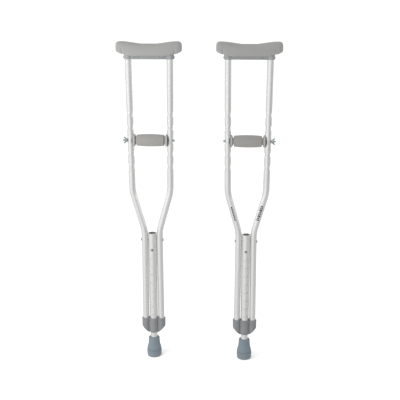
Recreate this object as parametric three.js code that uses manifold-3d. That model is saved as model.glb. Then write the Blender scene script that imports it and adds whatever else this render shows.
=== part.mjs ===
// A pair of adult underarm crutches, set to their shortest length. Each crutch is a bowed
// frame of two aluminium uprights around a centre tube, with a padded armrest, a bolted
// hand grip, and a telescoping leg that a spring button holds.
// Millimetres, +Z up, floor at Z = 0. A crutch lies in the XZ plane, its front towards -Y.
import * as THREE from 'three';
import { mergeVertices } from 'three/addons/utils/BufferGeometryUtils.js';
import Module from 'manifold-3d';

const wasm = await Module();
wasm.setup();

// Fits
const GAP = 0.3; // left between pieces that touch
const SLIDE_GAP = 0.4; // radial, leg tube in centre tube
const HOLE_GAP = 0.5; // radial, fastener in its hole

// The pair
const PAIR_SPACING = 325; // between the two crutches' centre planes

// Uprights, with half the spread between their centre lines at four heights
const UPRIGHT_DIAMETER = 22.2;
const UPRIGHT_WALL = 1.3;
const ARMREST_HEIGHT = 1075; // top of the saddle, where the pad rests
const ARMREST_SPREAD = 68.5;
const UPPER_BEND_SPREAD = 65;
const BEND_BELOW_WAISTS = 88; // from the lowest waist down to the upper bend
const BEND_DROP = 140; // from the upper bend down to the lower one
const FOOT_SPLAY = 1.8; // how far the uprights open again on their way to the bracket
const BEND_RADIUS = 150;

// Pressed waists with through holes, where the grip bolts on
const GRIP_HEIGHT = 792;
const GRIP_PITCH = 44.5;
const GRIP_STATIONS = [2, 1, 0, -1, -2];
const WAIST_LENGTH = 15;
const WAIST_DEPTH = 2; // pressed in on each side
const BOLT_DIAMETER = 6.2;

// Hand grip
const GRIP_DIAMETER = 41.5;
const GRIP_CROWN = 2.2; // how much the ends are slimmer, on the radius
const GRIP_CORE_DIAMETER = 22;
const GRIP_CORE_WALL = 4;
const GRIP_CAP_DIAMETER = 41;
const GRIP_CAP_LENGTH = 9;
const GRIP_CAP_FLOOR = 2.5;
const GRIP_CAP_OPENING = 31;
const GRIP_CAP_HUG = 2.5; // how far the cap's rim reaches past the upright's inner side
const GRIP_GROOVE = 1.8; // open groove between sleeve and cap

// Grip bolt, washer and wing nut
const BOLT_HEAD_DIAMETER = 11;
const BOLT_HEAD_HEIGHT = 4;
const BOLT_SPARE = 6; // thread beyond the wing nut
const WASHER_DIAMETER = 15;
const WASHER_THICKNESS = 1.5;
const NUT_BOSS_DIAMETER = 12;
const NUT_HEIGHT = 7;
const NUT_SPAN = 23;
const WING_THICKNESS = 2.2;
const WING_HEIGHT = 11;

// Centre tube, and the row of leg holes in its front
const CENTRE_DIAMETER = 28.6;
const CENTRE_WALL = 1.2;
const CENTRE_BELOW_BEND = 9; // from the lower bend down to the tube's open top
const RIVET_BELOW_TOP = 24;
const BUTTON_BELOW_TOP = 59;
const LEG_HOLE_PITCH = 30.5;
const LEG_HOLE_MARGIN = 10; // from the bracket up to the row of holes, at least
const RIVET_DIAMETER = 4.8;
const RIVET_HEAD_DIAMETER = 9.5;
const RIVET_HEAD_HEIGHT = 2.4;

// Lower bracket with its guide bush
const BRACKET_BOTTOM = 93.5;
const BRACKET_HEIGHT = 54;
const BRACKET_TAPER = 29.5; // height of the tapered part
const BRACKET_WALL = 3.2;
const BRACKET_WEB = 17; // thickness of the web between the sockets
const BRACKET_LIP = 4; // lip under the guide bush
const BUSH_LENGTH = 22;
const POP_RIVET_DIAMETER = 4;
const POP_RIVET_HEAD_DIAMETER = 8;
const POP_RIVET_HEAD_HEIGHT = 1.6;
const POP_RIVET_DROP = 14; // below the bracket's top
const POP_RIVET_REACH = 2; // past the upright's wall, inside it

// Leg tube, spring clip and button
const LEG_WALL = 1.4;
const LEG_ABOVE_BUTTON = 20;
const BUTTON_DIAMETER = 7.6;
const BUTTON_FLANGE_DIAMETER = 10;
const BUTTON_FLANGE_THICKNESS = 0.9;
const BUTTON_PROUD = 2.8; // how far it stands out of the centre tube
const CLIP_WIDTH = 8;
const CLIP_THICKNESS = 0.8;
const CLIP_LENGTH = 52;

// Rubber tip
const TIP_HEIGHT = 73.5;
const TIP_MOUTH_DIAMETER = 38;
const TIP_COLLAR_DIAMETER = 41; // at the collar's foot
const TIP_COLLAR_FOOT = 47; // height
const TIP_SKIRT_DIAMETER = 52.6;
const TIP_SKIRT_TOP = 32;
const TIP_SKIRT_BOTTOM = 6;
const TIP_SOLE_DIAMETER = 48;
const TIP_EDGE = 1.5; // how far its edges are rounded
const TIP_FLOOR = 12;
const TIP_WASHER_THICKNESS = 1.8;
const TIP_WASHER_HOLE = 8;

// Armrest saddle
const SADDLE_DEPTH = 16;
const SADDLE_WALL = 2;
const SADDLE_ROOF = 2.7;
const SADDLE_BAR_WIDTH = 24;
const SPINE_WIDTH = 15;
const SPINE_HEIGHT = 13;
const SPINE_LENGTH = 150;
const SCREW_DIAMETER = 3.8;
const SCREW_HEAD_DIAMETER = 7.2;
const SCREW_HEAD_HEIGHT = 1.8;
const SCREW_DROP = 9.5; // below the top of the saddle
const SCREW_REACH = 3; // past the upright's wall, inside it

// Armrest pad
const PAD_LENGTH = 217;
const PAD_WIDTH = 44;
const PAD_THICKNESS = 36; // in the middle
const PAD_END_RISE = 7; // how much higher the ends of its top are
const PAD_OVERHANG = 8; // how far its underside hangs below the saddle's top
const PAD_END_LIFT = 16; // how much higher the ends of its underside are
const PAD_RISE_SPAN = [0.2, 0.8]; // share of the half length over which its top rises
const PAD_LIFT_SPAN = [0.5, 1.05]; // the same for its underside
const PAD_ROUND_SPAN = [0.85, 1]; // the same for its rounded ends
const PAD_END_SHRINK = 0.5; // how much smaller its end faces are
const PAD_SQUARENESS = 0.6; // exponent of its section, 1 for an ellipse

// Facets of round pieces
const TUBE_SIDES = 16;
const UPRIGHT_SIDES = 10;
const SMALL_SIDES = 8;
const HOLE_SIDES = 6;
const BEND_STEPS = 3;
const PAD_SIDES = 12;

// Worked out from the values above
const lowestWaist = GRIP_HEIGHT + Math.min(...GRIP_STATIONS) * GRIP_PITCH;
const upperBendHeight = lowestWaist - BEND_BELOW_WAISTS;
const lowerBendHeight = upperBendHeight - BEND_DROP;
const centreTop = lowerBendHeight - CENTRE_BELOW_BEND;
const crossRivetHeight = centreTop - RIVET_BELOW_TOP;
const buttonHeight = centreTop - BUTTON_BELOW_TOP;
const uprightRadius = UPRIGHT_DIAMETER / 2;
const centreRadius = CENTRE_DIAMETER / 2;
const centreBore = centreRadius - CENTRE_WALL;
const legRadius = centreBore - SLIDE_GAP;
const legBore = legRadius - LEG_WALL;
const boltRadius = BOLT_DIAMETER / 2;
const hugSpread = centreRadius + uprightRadius + GAP;
const footSpread = hugSpread + FOOT_SPLAY;
const uprightTop = ARMREST_HEIGHT - SADDLE_ROOF - GAP;
const bracketTop = BRACKET_BOTTOM + BRACKET_HEIGHT;
const socketFloor = BRACKET_BOTTOM + BRACKET_TAPER;
const bushBottom = BRACKET_BOTTOM + BRACKET_LIP + GAP;
const centreBottom = bushBottom + BUSH_LENGTH + GAP;
const legBottom = TIP_FLOOR + TIP_WASHER_THICKNESS + 2 * GAP;
const legTop = buttonHeight + LEG_ABOVE_BUTTON;
const holeRow = buttonHeight - bracketTop - LEG_HOLE_MARGIN;
const legHoleCount = 1 + Math.floor(holeRow / LEG_HOLE_PITCH);
const saddleBottom = ARMREST_HEIGHT - SADDLE_DEPTH;
const socketRadius = uprightRadius + GAP + SADDLE_WALL;
const capFace = spreadAt(GRIP_HEIGHT) - uprightRadius + GRIP_CAP_HUG;
const capFloor = capFace - GRIP_CAP_LENGTH;

// Half the spread of the uprights' centre lines at a height above the upper bend
function spreadAt(height) {
  const share = (height - upperBendHeight) / (uprightTop - upperBendHeight);
  return THREE.MathUtils.lerp(UPPER_BEND_SPREAD, ARMREST_SPREAD, share);
}

// Half the spread at a height below the lower bend
function lowSpreadAt(height) {
  const share = (lowerBendHeight - height) / (lowerBendHeight - socketFloor);
  return THREE.MathUtils.lerp(hugSpread, footSpread, share);
}

// Closed mesh to solid, with its faces turned outwards
function solidOf(geometry) {
  const bare = geometry.clone();
  bare.deleteAttribute('normal');
  bare.deleteAttribute('uv');
  const merged = mergeVertices(bare, 1e-4);
  const points = Float32Array.from(merged.attributes.position.array);
  const triangles = Uint32Array.from(merged.index.array);
  if (signedVolume(points, triangles) < 0) {
    triangles.reverse();
  }
  return new wasm.Manifold(new wasm.Mesh({ numProp: 3, vertProperties: points, triVerts: triangles }));
}

function signedVolume(points, triangles) {
  const corner = (index) => new THREE.Vector3().fromArray(points, 3 * index);
  let volume = 0;
  for (let i = 0; i < triangles.length; i += 3) {
    const normal = corner(triangles[i + 1]).cross(corner(triangles[i + 2]));
    volume += corner(triangles[i]).dot(normal) / 6;
  }
  return volume;
}

function geometryOf(solid) {
  const mesh = solid.getMesh();
  const geometry = new THREE.BufferGeometry();
  geometry.setAttribute('position', new THREE.BufferAttribute(mesh.vertProperties, 3));
  geometry.setIndex(new THREE.BufferAttribute(mesh.triVerts, 1));
  geometry.computeVertexNormals();
  return geometry;
}

function joined(solids) {
  return solids.reduce((whole, solid) => whole.add(solid));
}

function cut(solid, cutters) {
  return cutters.reduce((rest, cutter) => rest.subtract(cutter), solid);
}

// Round bar between two points
function rod(start, end, radius, sides = TUBE_SIDES) {
  const from = new THREE.Vector3(...start);
  const to = new THREE.Vector3(...end);
  const geometry = new THREE.CylinderGeometry(radius, radius, from.distanceTo(to), sides);
  const direction = to.clone().sub(from).normalize();
  const upright = new THREE.Vector3(0, 1, 0);
  geometry.applyQuaternion(new THREE.Quaternion().setFromUnitVectors(upright, direction));
  geometry.translate(...from.add(to).multiplyScalar(0.5));
  return solidOf(geometry);
}

// Cutter whose flats, not its corners, stand at the radius
function bore(start, end, radius, sides = TUBE_SIDES) {
  return rod(start, end, radius / Math.cos(Math.PI / sides), sides);
}

function block(low, high) {
  const size = high.map((value, axis) => value - low[axis]);
  const geometry = new THREE.BoxGeometry(...size);
  geometry.translate(...high.map((value, axis) => (value + low[axis]) / 2));
  return solidOf(geometry);
}

// Solid of revolution about Z from [radius, height] points
function revolved(profile, sides = TUBE_SIDES) {
  const points = profile.map(([radius, height]) => new THREE.Vector2(radius, height));
  if (profile[0][0] > 0) {
    points.push(points[0].clone());
  }
  return new THREE.LatheGeometry(points, sides).rotateX(Math.PI / 2);
}

// The same, turned so that the profile's heights run along +X
function revolvedAlongX(profile, sides) {
  return solidOf(revolved(profile, sides).rotateY(Math.PI / 2));
}

// The same, turned so that the profile's heights run along -Y
function revolvedAlongFront(profile, sides) {
  return solidOf(revolved(profile, sides).rotateX(Math.PI / 2));
}

// Skin over rings of points with the same count. It closes on itself or gets two end faces
function lofted(rings, closesOnItself) {
  const sides = rings[0].length;
  const triangles = [];
  const spans = closesOnItself ? rings.length : rings.length - 1;
  for (let ring = 0; ring < spans; ring += 1) {
    const here = ring * sides;
    const there = ((ring + 1) % rings.length) * sides;
    for (let side = 0; side < sides; side += 1) {
      const next = (side + 1) % sides;
      triangles.push(here + side, here + next, there + next);
      triangles.push(here + side, there + next, there + side);
    }
  }
  if (!closesOnItself) {
    const last = (rings.length - 1) * sides;
    for (let side = 1; side < sides - 1; side += 1) {
      triangles.push(0, side + 1, side);
      triangles.push(last, last + side, last + side + 1);
    }
  }
  const geometry = new THREE.BufferGeometry().setFromPoints(rings.flat());
  geometry.setIndex(triangles);
  return solidOf(geometry);
}

// Places along a bent path in the XZ plane, each with its heading
function arcAround(before, corner, after, radius) {
  const heading = (from, to) => Math.atan2(to.y - from.y, to.x - from.x);
  const first = heading(before, corner);
  const turn = heading(corner, after) - first;
  const reach = radius * Math.tan(Math.abs(turn) / 2);
  const side = Math.sign(turn);
  const away = (angle, length) => new THREE.Vector2(length, 0).rotateAround(new THREE.Vector2(), angle);
  const toSide = (angle) => away(angle + Math.PI / 2, side * radius);
  const start = corner.clone().sub(away(first, reach));
  const centre = start.clone().add(toSide(first));
  const places = [];
  for (let step = 0; step <= BEND_STEPS; step += 1) {
    const angle = first + (turn * step) / BEND_STEPS;
    places.push({ point: centre.clone().sub(toSide(angle)), angle, waist: 0 });
  }
  return places;
}

// The upright's centre line from top to bottom, with its waists, or plain and longer at both ends
function uprightPlaces(hasWaists, longer = 0) {
  const top = new THREE.Vector2(ARMREST_SPREAD, uprightTop + longer);
  const upper = new THREE.Vector2(UPPER_BEND_SPREAD, upperBendHeight);
  const lower = new THREE.Vector2(hugSpread, lowerBendHeight);
  const bottom = new THREE.Vector2(footSpread, socketFloor + GAP - longer);
  const upperBend = arcAround(top, upper, lower, BEND_RADIUS);
  const lowerBend = arcAround(upper, lower, bottom, BEND_RADIUS);
  const places = [{ point: top, angle: upperBend[0].angle, waist: 0 }];
  for (const station of hasWaists ? GRIP_STATIONS : []) {
    for (const along of [1, 0, -1]) {
      const height = GRIP_HEIGHT + station * GRIP_PITCH + (along * WAIST_LENGTH) / 2;
      const point = new THREE.Vector2(spreadAt(height), height);
      places.push({ point, angle: upperBend[0].angle, waist: along === 0 ? WAIST_DEPTH : 0 });
    }
  }
  places.push(...upperBend, ...lowerBend);
  places.push({ point: bottom, angle: lowerBend[BEND_STEPS].angle, waist: 0 });
  return places;
}

// Ring of points across an upright. A waist narrows it across and widens it a little in depth
function uprightRing(place, end, radius) {
  const ring = [];
  for (let side = 0; side < UPRIGHT_SIDES; side += 1) {
    const turn = (2 * Math.PI * (side + 0.5)) / UPRIGHT_SIDES;
    const across = (radius - place.waist) * Math.cos(turn);
    const depth = (radius + place.waist / 4) * Math.sin(turn);
    const x = place.point.x - Math.sin(place.angle) * across;
    const z = place.point.y + Math.cos(place.angle) * across;
    ring.push(new THREE.Vector3(end * x, depth, z));
  }
  return ring;
}

// Filled shape around an upright, to cut what holds it
function uprightEnvelope(end, clearance) {
  const radius = (uprightRadius + clearance) / Math.cos(Math.PI / UPRIGHT_SIDES);
  const places = uprightPlaces(false, clearance);
  return lofted(places.map((place) => uprightRing(place, end, radius)), false);
}

function upright(end) {
  const places = uprightPlaces(true);
  const outside = places.map((place) => uprightRing(place, end, uprightRadius));
  const inside = places.map((place) => uprightRing(place, end, uprightRadius - UPRIGHT_WALL));
  const tube = lofted([...outside, ...inside.reverse()], true);
  const holes = GRIP_STATIONS.map((station) => {
    const height = GRIP_HEIGHT + station * GRIP_PITCH;
    const x = end * spreadAt(height);
    const reach = UPRIGHT_DIAMETER;
    return bore([x - reach, 0, height], [x + reach, 0, height], boltRadius + HOLE_GAP, HOLE_SIDES);
  });
  return cut(tube, [...holes, crossRivetHole(), screwHole(end), popRivetHole(end)]);
}

function crossRivetHole() {
  const reach = lowSpreadAt(crossRivetHeight) + UPRIGHT_DIAMETER;
  const height = crossRivetHeight;
  return bore([-reach, 0, height], [reach, 0, height], RIVET_DIAMETER / 2 + HOLE_GAP, HOLE_SIDES);
}

function screwHole(end) {
  const height = ARMREST_HEIGHT - SCREW_DROP;
  const start = [end * spreadAt(height), 0, height];
  const stop = [end * (spreadAt(height) + UPRIGHT_DIAMETER), 0, height];
  return bore(start, stop, SCREW_DIAMETER / 2 + HOLE_GAP, HOLE_SIDES);
}

function popRivetHole(end) {
  const height = bracketTop - POP_RIVET_DROP;
  const x = end * lowSpreadAt(height);
  return bore([x, 0, height], [x, CENTRE_DIAMETER, height], POP_RIVET_DIAMETER / 2 + HOLE_GAP, HOLE_SIDES);
}

function centreTube() {
  const tube = solidOf(revolved([
    [centreBore, centreBottom],
    [centreRadius, centreBottom],
    [centreRadius, centreTop],
    [centreBore, centreTop],
  ]));
  const radius = BUTTON_DIAMETER / 2 + HOLE_GAP;
  const holes = [];
  for (let hole = 0; hole < legHoleCount; hole += 1) {
    const height = buttonHeight - hole * LEG_HOLE_PITCH;
    holes.push(bore([0, 0, height], [0, -CENTRE_DIAMETER, height], radius, SMALL_SIDES));
  }
  return cut(tube, [...holes, crossRivetHole()]);
}

function crossRivet() {
  const shank = RIVET_DIAMETER / 2;
  const head = RIVET_HEAD_DIAMETER / 2;
  const face = lowSpreadAt(crossRivetHeight) + uprightRadius + GAP;
  const top = face + RIVET_HEAD_HEIGHT;
  return revolvedAlongX([
    [0, -top],
    [head * 0.6, -top],
    [head, -face - RIVET_HEAD_HEIGHT / 3],
    [head, -face],
    [shank, -face],
    [shank, face],
    [head, face],
    [head, face + RIVET_HEAD_HEIGHT / 3],
    [head * 0.6, top],
    [0, top],
  ], SMALL_SIDES);
}

// Headed pin along +X or -Y. Heights run from the shank's tip to the head
function headedPin(shankRadius, headRadius, headHeight, tip, face) {
  return [
    [0, tip],
    [shankRadius, tip],
    [shankRadius, face],
    [headRadius, face],
    [headRadius, face + headHeight / 2],
    [headRadius * 0.6, face + headHeight],
    [0, face + headHeight],
  ];
}

function saddleScrew() {
  const face = spreadAt(ARMREST_HEIGHT - SCREW_DROP) + socketRadius + GAP;
  const tip = face - 2 * GAP - SADDLE_WALL - UPRIGHT_WALL - SCREW_REACH;
  const profile = headedPin(SCREW_DIAMETER / 2, SCREW_HEAD_DIAMETER / 2, SCREW_HEAD_HEIGHT, tip, face);
  return revolvedAlongX(profile, SMALL_SIDES);
}

function popRivet() {
  const face = uprightRadius + GAP + BRACKET_WALL + GAP;
  const tip = uprightRadius - UPRIGHT_WALL - POP_RIVET_REACH;
  const headRadius = POP_RIVET_HEAD_DIAMETER / 2;
  const profile = headedPin(POP_RIVET_DIAMETER / 2, headRadius, POP_RIVET_HEAD_HEIGHT, tip, face);
  return revolvedAlongFront(profile, SMALL_SIDES);
}

// Moulded bar across the tops of the uprights, with a spine that the pad slips over
function saddle() {
  const barWidth = SADDLE_BAR_WIDTH / 2;
  const bar = block(
    [-ARMREST_SPREAD, -barWidth, saddleBottom],
    [ARMREST_SPREAD, barWidth, ARMREST_HEIGHT],
  );
  const spine = block(
    [-SPINE_LENGTH / 2, -SPINE_WIDTH / 2, ARMREST_HEIGHT - SADDLE_ROOF],
    [SPINE_LENGTH / 2, SPINE_WIDTH / 2, ARMREST_HEIGHT + SPINE_HEIGHT],
  );
  const sockets = [-1, 1].map((end) => {
    const x = end * ARMREST_SPREAD;
    return rod([x, 0, saddleBottom], [x, 0, ARMREST_HEIGHT], socketRadius, UPRIGHT_SIDES);
  });
  const cutters = [-1, 1].flatMap((end) => [uprightEnvelope(end, GAP), screwHole(end)]);
  return cut(joined([bar, spine, ...sockets]), cutters);
}

// Rings of rounded sections along X, then pockets for the saddle and its spine
function pad() {
  const shares = [-1, -0.97, -0.87, -0.7, -0.35, 0, 0.35, 0.7, 0.87, 0.97, 1];
  const rings = shares.map((share) => padRing(share * PAD_LENGTH / 2, share));
  const spinePocket = block(
    [-SPINE_LENGTH / 2 - GAP, -SPINE_WIDTH / 2 - GAP, ARMREST_HEIGHT - 1],
    [SPINE_LENGTH / 2 + GAP, SPINE_WIDTH / 2 + GAP, ARMREST_HEIGHT + SPINE_HEIGHT + GAP],
  );
  const length = ARMREST_SPREAD + socketRadius + GAP;
  const width = socketRadius + GAP;
  const saddlePocket = block([-length, -width, saddleBottom], [length, width, ARMREST_HEIGHT + GAP]);
  return cut(lofted(rings, false), [spinePocket, saddlePocket]);
}

// A power of a sine or cosine that keeps its sign
function squared(value) {
  return Math.sign(value) * Math.abs(value) ** PAD_SQUARENESS;
}

function padRing(x, share) {
  const end = Math.abs(share);
  const along = (span) => THREE.MathUtils.smoothstep(end, ...span);
  const bottom = ARMREST_HEIGHT - PAD_OVERHANG + PAD_END_LIFT * along(PAD_LIFT_SPAN);
  const top = ARMREST_HEIGHT + PAD_THICKNESS + PAD_END_RISE * along(PAD_RISE_SPAN);
  const round = 1 - PAD_END_SHRINK * along(PAD_ROUND_SPAN) ** 2;
  const halfWidth = (PAD_WIDTH / 2) * round;
  const turns = Array.from({ length: PAD_SIDES }, (_, side) => (2 * Math.PI * (side + 0.5)) / PAD_SIDES);
  const highest = Math.max(...turns.map((turn) => squared(Math.sin(turn))));
  const halfHeight = ((top - bottom) / 2 / highest) * round;
  return turns.map((turn) => {
    const z = (top + bottom) / 2 + squared(Math.sin(turn)) * halfHeight;
    return new THREE.Vector3(x, squared(Math.cos(turn)) * halfWidth, z);
  });
}

// Triple socket that joins both uprights and the centre tube, narrowing to a collar
function lowerBracket() {
  const sideRadius = uprightRadius + GAP + BRACKET_WALL;
  const middleRadius = centreRadius + GAP + BRACKET_WALL;
  const halfWidth = footSpread + sideRadius;
  const outline = new THREE.Shape([
    new THREE.Vector2(-halfWidth, bracketTop),
    new THREE.Vector2(-halfWidth, socketFloor),
    new THREE.Vector2(-middleRadius, BRACKET_BOTTOM),
    new THREE.Vector2(middleRadius, BRACKET_BOTTOM),
    new THREE.Vector2(halfWidth, socketFloor),
    new THREE.Vector2(halfWidth, bracketTop),
  ]);
  const slab = new THREE.ExtrudeGeometry(outline, { depth: 2 * middleRadius, bevelEnabled: false });
  slab.rotateX(Math.PI / 2).translate(0, middleRadius, 0);
  const sockets = [-1, 1].map((end) => {
    const x = end * footSpread;
    return rod([x, 0, BRACKET_BOTTOM], [x, 0, bracketTop], sideRadius, UPRIGHT_SIDES);
  });
  const collar = rod([0, 0, BRACKET_BOTTOM], [0, 0, bracketTop], middleRadius);
  const web = block(
    [-footSpread, -BRACKET_WEB / 2, BRACKET_BOTTOM],
    [footSpread, BRACKET_WEB / 2, bracketTop],
  );
  const body = joined([...sockets, collar, web]).intersect(solidOf(slab));
  const cutters = [
    bore([0, 0, BRACKET_BOTTOM - 1], [0, 0, bracketTop], legRadius + HOLE_GAP),
    bore([0, 0, bushBottom - GAP], [0, 0, bracketTop + 1], centreRadius + GAP),
    ...[-1, 1].flatMap((end) => [uprightEnvelope(end, GAP), popRivetHole(end)]),
  ];
  return cut(body, cutters);
}

function guideBush() {
  return solidOf(revolved([
    [legRadius + SLIDE_GAP, 0],
    [centreRadius, 0],
    [centreRadius, BUSH_LENGTH],
    [legRadius + SLIDE_GAP, BUSH_LENGTH],
  ]));
}

function legTube() {
  const tube = solidOf(revolved([
    [legBore, legBottom],
    [legRadius, legBottom],
    [legRadius, legTop],
    [legBore, legTop],
  ]));
  const radius = BUTTON_DIAMETER / 2 + HOLE_GAP;
  const start = [0, 0, buttonHeight];
  return tube.subtract(bore(start, [0, -CENTRE_DIAMETER, buttonHeight], radius, SMALL_SIDES));
}

// How far in front of the axis the button's flange begins, clear of the leg's round bore
function flangeBack() {
  const flangeRadius = BUTTON_FLANGE_DIAMETER / 2;
  const face = Math.sqrt(legBore ** 2 - flangeRadius ** 2) - 2 * GAP;
  return face - BUTTON_FLANGE_THICKNESS;
}

function button() {
  const back = flangeBack();
  const front = centreRadius + BUTTON_PROUD;
  const radius = BUTTON_DIAMETER / 2;
  return revolvedAlongFront([
    [0, back],
    [BUTTON_FLANGE_DIAMETER / 2, back],
    [BUTTON_FLANGE_DIAMETER / 2, back + BUTTON_FLANGE_THICKNESS],
    [radius, back + BUTTON_FLANGE_THICKNESS],
    [radius, front - radius * 0.5],
    [radius * 0.75, front - radius * 0.15],
    [0, front],
  ], SMALL_SIDES);
}

// Strip of spring steel folded into a V inside the leg: the front arm carries the button
function springClip() {
  const front = -(flangeBack() - GAP - CLIP_THICKNESS);
  const back = Math.sqrt(legBore ** 2 - (CLIP_WIDTH / 2) ** 2) - 2 * GAP - CLIP_THICKNESS;
  const bend = (back - front) / 4;
  const middle = (front + back) / 2;
  const path = [new THREE.Vector2(front, BUTTON_FLANGE_DIAMETER / 2)];
  for (let step = 0; step <= BEND_STEPS * 2; step += 1) {
    const turn = Math.PI + (Math.PI * step) / (BEND_STEPS * 2);
    path.push(new THREE.Vector2(middle + bend * Math.cos(turn), -CLIP_LENGTH + bend * Math.sin(turn)));
  }
  path.push(new THREE.Vector2(back, 0));
  const outer = path.map((point, index) => {
    const before = path[Math.max(index - 1, 0)];
    const after = path[Math.min(index + 1, path.length - 1)];
    const along = after.clone().sub(before).normalize();
    return new THREE.Vector2(along.y, -along.x).multiplyScalar(-CLIP_THICKNESS).add(point);
  });
  const shape = new THREE.Shape([...path, ...outer.reverse()]);
  const strip = new THREE.ExtrudeGeometry(shape, { depth: CLIP_WIDTH, bevelEnabled: false });
  strip.translate(0, 0, -CLIP_WIDTH / 2);
  strip.rotateX(Math.PI / 2).rotateZ(Math.PI / 2);
  return solidOf(strip);
}

function rubberTip() {
  const mouth = TIP_MOUTH_DIAMETER / 2;
  const skirt = TIP_SKIRT_DIAMETER / 2;
  const sole = TIP_SOLE_DIAMETER / 2;
  const socket = legRadius + GAP;
  return solidOf(revolved([
    [0, 0],
    [sole, 0],
    [(sole + skirt) / 2, TIP_EDGE],
    [skirt, TIP_SKIRT_BOTTOM],
    [skirt, TIP_SKIRT_TOP],
    [TIP_COLLAR_DIAMETER / 2, TIP_COLLAR_FOOT],
    [mouth, TIP_HEIGHT - TIP_EDGE],
    [mouth - TIP_EDGE, TIP_HEIGHT],
    [socket, TIP_HEIGHT],
    [socket, TIP_FLOOR],
    [0, TIP_FLOOR],
  ]));
}

function tipWasher() {
  return solidOf(revolved([
    [TIP_WASHER_HOLE / 2, 0],
    [legRadius, 0],
    [legRadius, TIP_WASHER_THICKNESS],
    [TIP_WASHER_HOLE / 2, TIP_WASHER_THICKNESS],
  ]));
}

function gripCore() {
  const end = capFloor - GAP;
  return revolvedAlongX([
    [GRIP_CORE_DIAMETER / 2 - GRIP_CORE_WALL, -end],
    [GRIP_CORE_DIAMETER / 2, -end],
    [GRIP_CORE_DIAMETER / 2, end],
    [GRIP_CORE_DIAMETER / 2 - GRIP_CORE_WALL, end],
  ], UPRIGHT_SIDES);
}

function gripSleeve() {
  const end = capFloor - GRIP_GROOVE;
  const radius = GRIP_DIAMETER / 2;
  const inside = (GRIP_CORE_DIAMETER / 2 + GAP) / Math.cos(Math.PI / TUBE_SIDES);
  const barrel = [-1, -0.96, -0.55, 0, 0.55, 0.96, 1].map((share) => {
    const lip = Math.abs(share) === 1 ? 1 : 0;
    return [radius - GRIP_CROWN * share * share - lip, share * end];
  });
  return revolvedAlongX([[inside, -end], ...barrel, [inside, end]]);
}

// Cup against the upright, its rim cut to sit round the tube
function gripCap(end) {
  const rim = GRIP_CAP_DIAMETER / 2;
  const opening = GRIP_CAP_OPENING / 2;
  const throat = boltRadius + HOLE_GAP;
  const cup = revolved([
    [throat, capFloor],
    [rim - 1, capFloor],
    [rim, capFloor + 1],
    [rim, capFace],
    [opening, capFace],
    [opening, capFloor + GRIP_CAP_FLOOR],
    [throat, capFloor + GRIP_CAP_FLOOR],
  ]);
  cup.rotateY((end * Math.PI) / 2).translate(0, 0, GRIP_HEIGHT);
  return solidOf(cup).subtract(uprightEnvelope(end, GAP));
}

// Outer side of the uprights at the grip, where the bolt's head and the washer bear
function boltFace() {
  return spreadAt(GRIP_HEIGHT) + uprightRadius + GAP;
}

// Head at -X, thread towards +X
function gripBolt() {
  const head = BOLT_HEAD_DIAMETER / 2;
  const face = boltFace();
  const tip = face + WASHER_THICKNESS + NUT_HEIGHT + BOLT_SPARE;
  return revolvedAlongX([
    [0, -face - BOLT_HEAD_HEIGHT],
    [head * 0.65, -face - BOLT_HEAD_HEIGHT],
    [head, -face - BOLT_HEAD_HEIGHT / 3],
    [head, -face],
    [boltRadius, -face],
    [boltRadius, tip - 1],
    [boltRadius - 1, tip],
    [0, tip],
  ], SMALL_SIDES);
}

function boltWasher() {
  const hole = (boltRadius + HOLE_GAP) / Math.cos(Math.PI / SMALL_SIDES);
  return revolvedAlongX([
    [hole, 0],
    [WASHER_DIAMETER / 2, 0],
    [WASHER_DIAMETER / 2, WASHER_THICKNESS],
    [hole, WASHER_THICKNESS],
  ], SMALL_SIDES);
}

// Tapered boss with two upswept wings, its bearing face at X = 0
function wingNut() {
  const base = NUT_BOSS_DIAMETER / 2;
  const boss = revolvedAlongX([[0, 0], [base, 0], [base * 0.75, NUT_HEIGHT], [0, NUT_HEIGHT]], SMALL_SIDES);
  const wings = [-1, 1].map((side) => {
    const shape = new THREE.Shape([
      new THREE.Vector2(0.8, side * boltRadius),
      new THREE.Vector2(1.6, side * base),
      new THREE.Vector2(WING_HEIGHT * 0.45, (side * NUT_SPAN * 0.9) / 2),
      new THREE.Vector2(WING_HEIGHT * 0.85, (side * NUT_SPAN) / 2),
      new THREE.Vector2(WING_HEIGHT, (side * NUT_SPAN * 0.86) / 2),
      new THREE.Vector2(WING_HEIGHT * 0.85, (side * NUT_SPAN * 0.66) / 2),
      new THREE.Vector2(NUT_HEIGHT * 0.8, side * boltRadius),
    ]);
    const blade = new THREE.ExtrudeGeometry(shape, { depth: WING_THICKNESS, bevelEnabled: false });
    blade.rotateX(Math.PI / 2).translate(0, WING_THICKNESS / 2, 0);
    return solidOf(blade);
  });
  const hole = bore([-1, 0, 0], [NUT_HEIGHT + 1, 0, 0], boltRadius + HOLE_GAP, SMALL_SIDES);
  return joined([boss, ...wings]).subtract(hole);
}

// Materials
const finish = (color, roughness, metalness) => ({ color, roughness, metalness });
const ALUMINIUM = finish(0xd3d4d3, 0.32, 1);
const STEEL = finish(0x9fa4a8, 0.35, 1);
const SPRING_STEEL = finish(0x6f7478, 0.4, 1);
const PAD_FOAM = finish(0xa3a39f, 0.8, 0);
const GRIP_FOAM = finish(0x9c9a95, 0.85, 0);
const GREY_PLASTIC = finish(0x84888b, 0.5, 0);
const PALE_PLASTIC = finish(0xd9d8d2, 0.45, 0);
const TIP_RUBBER = finish(0x7c8891, 0.7, 0);

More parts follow.
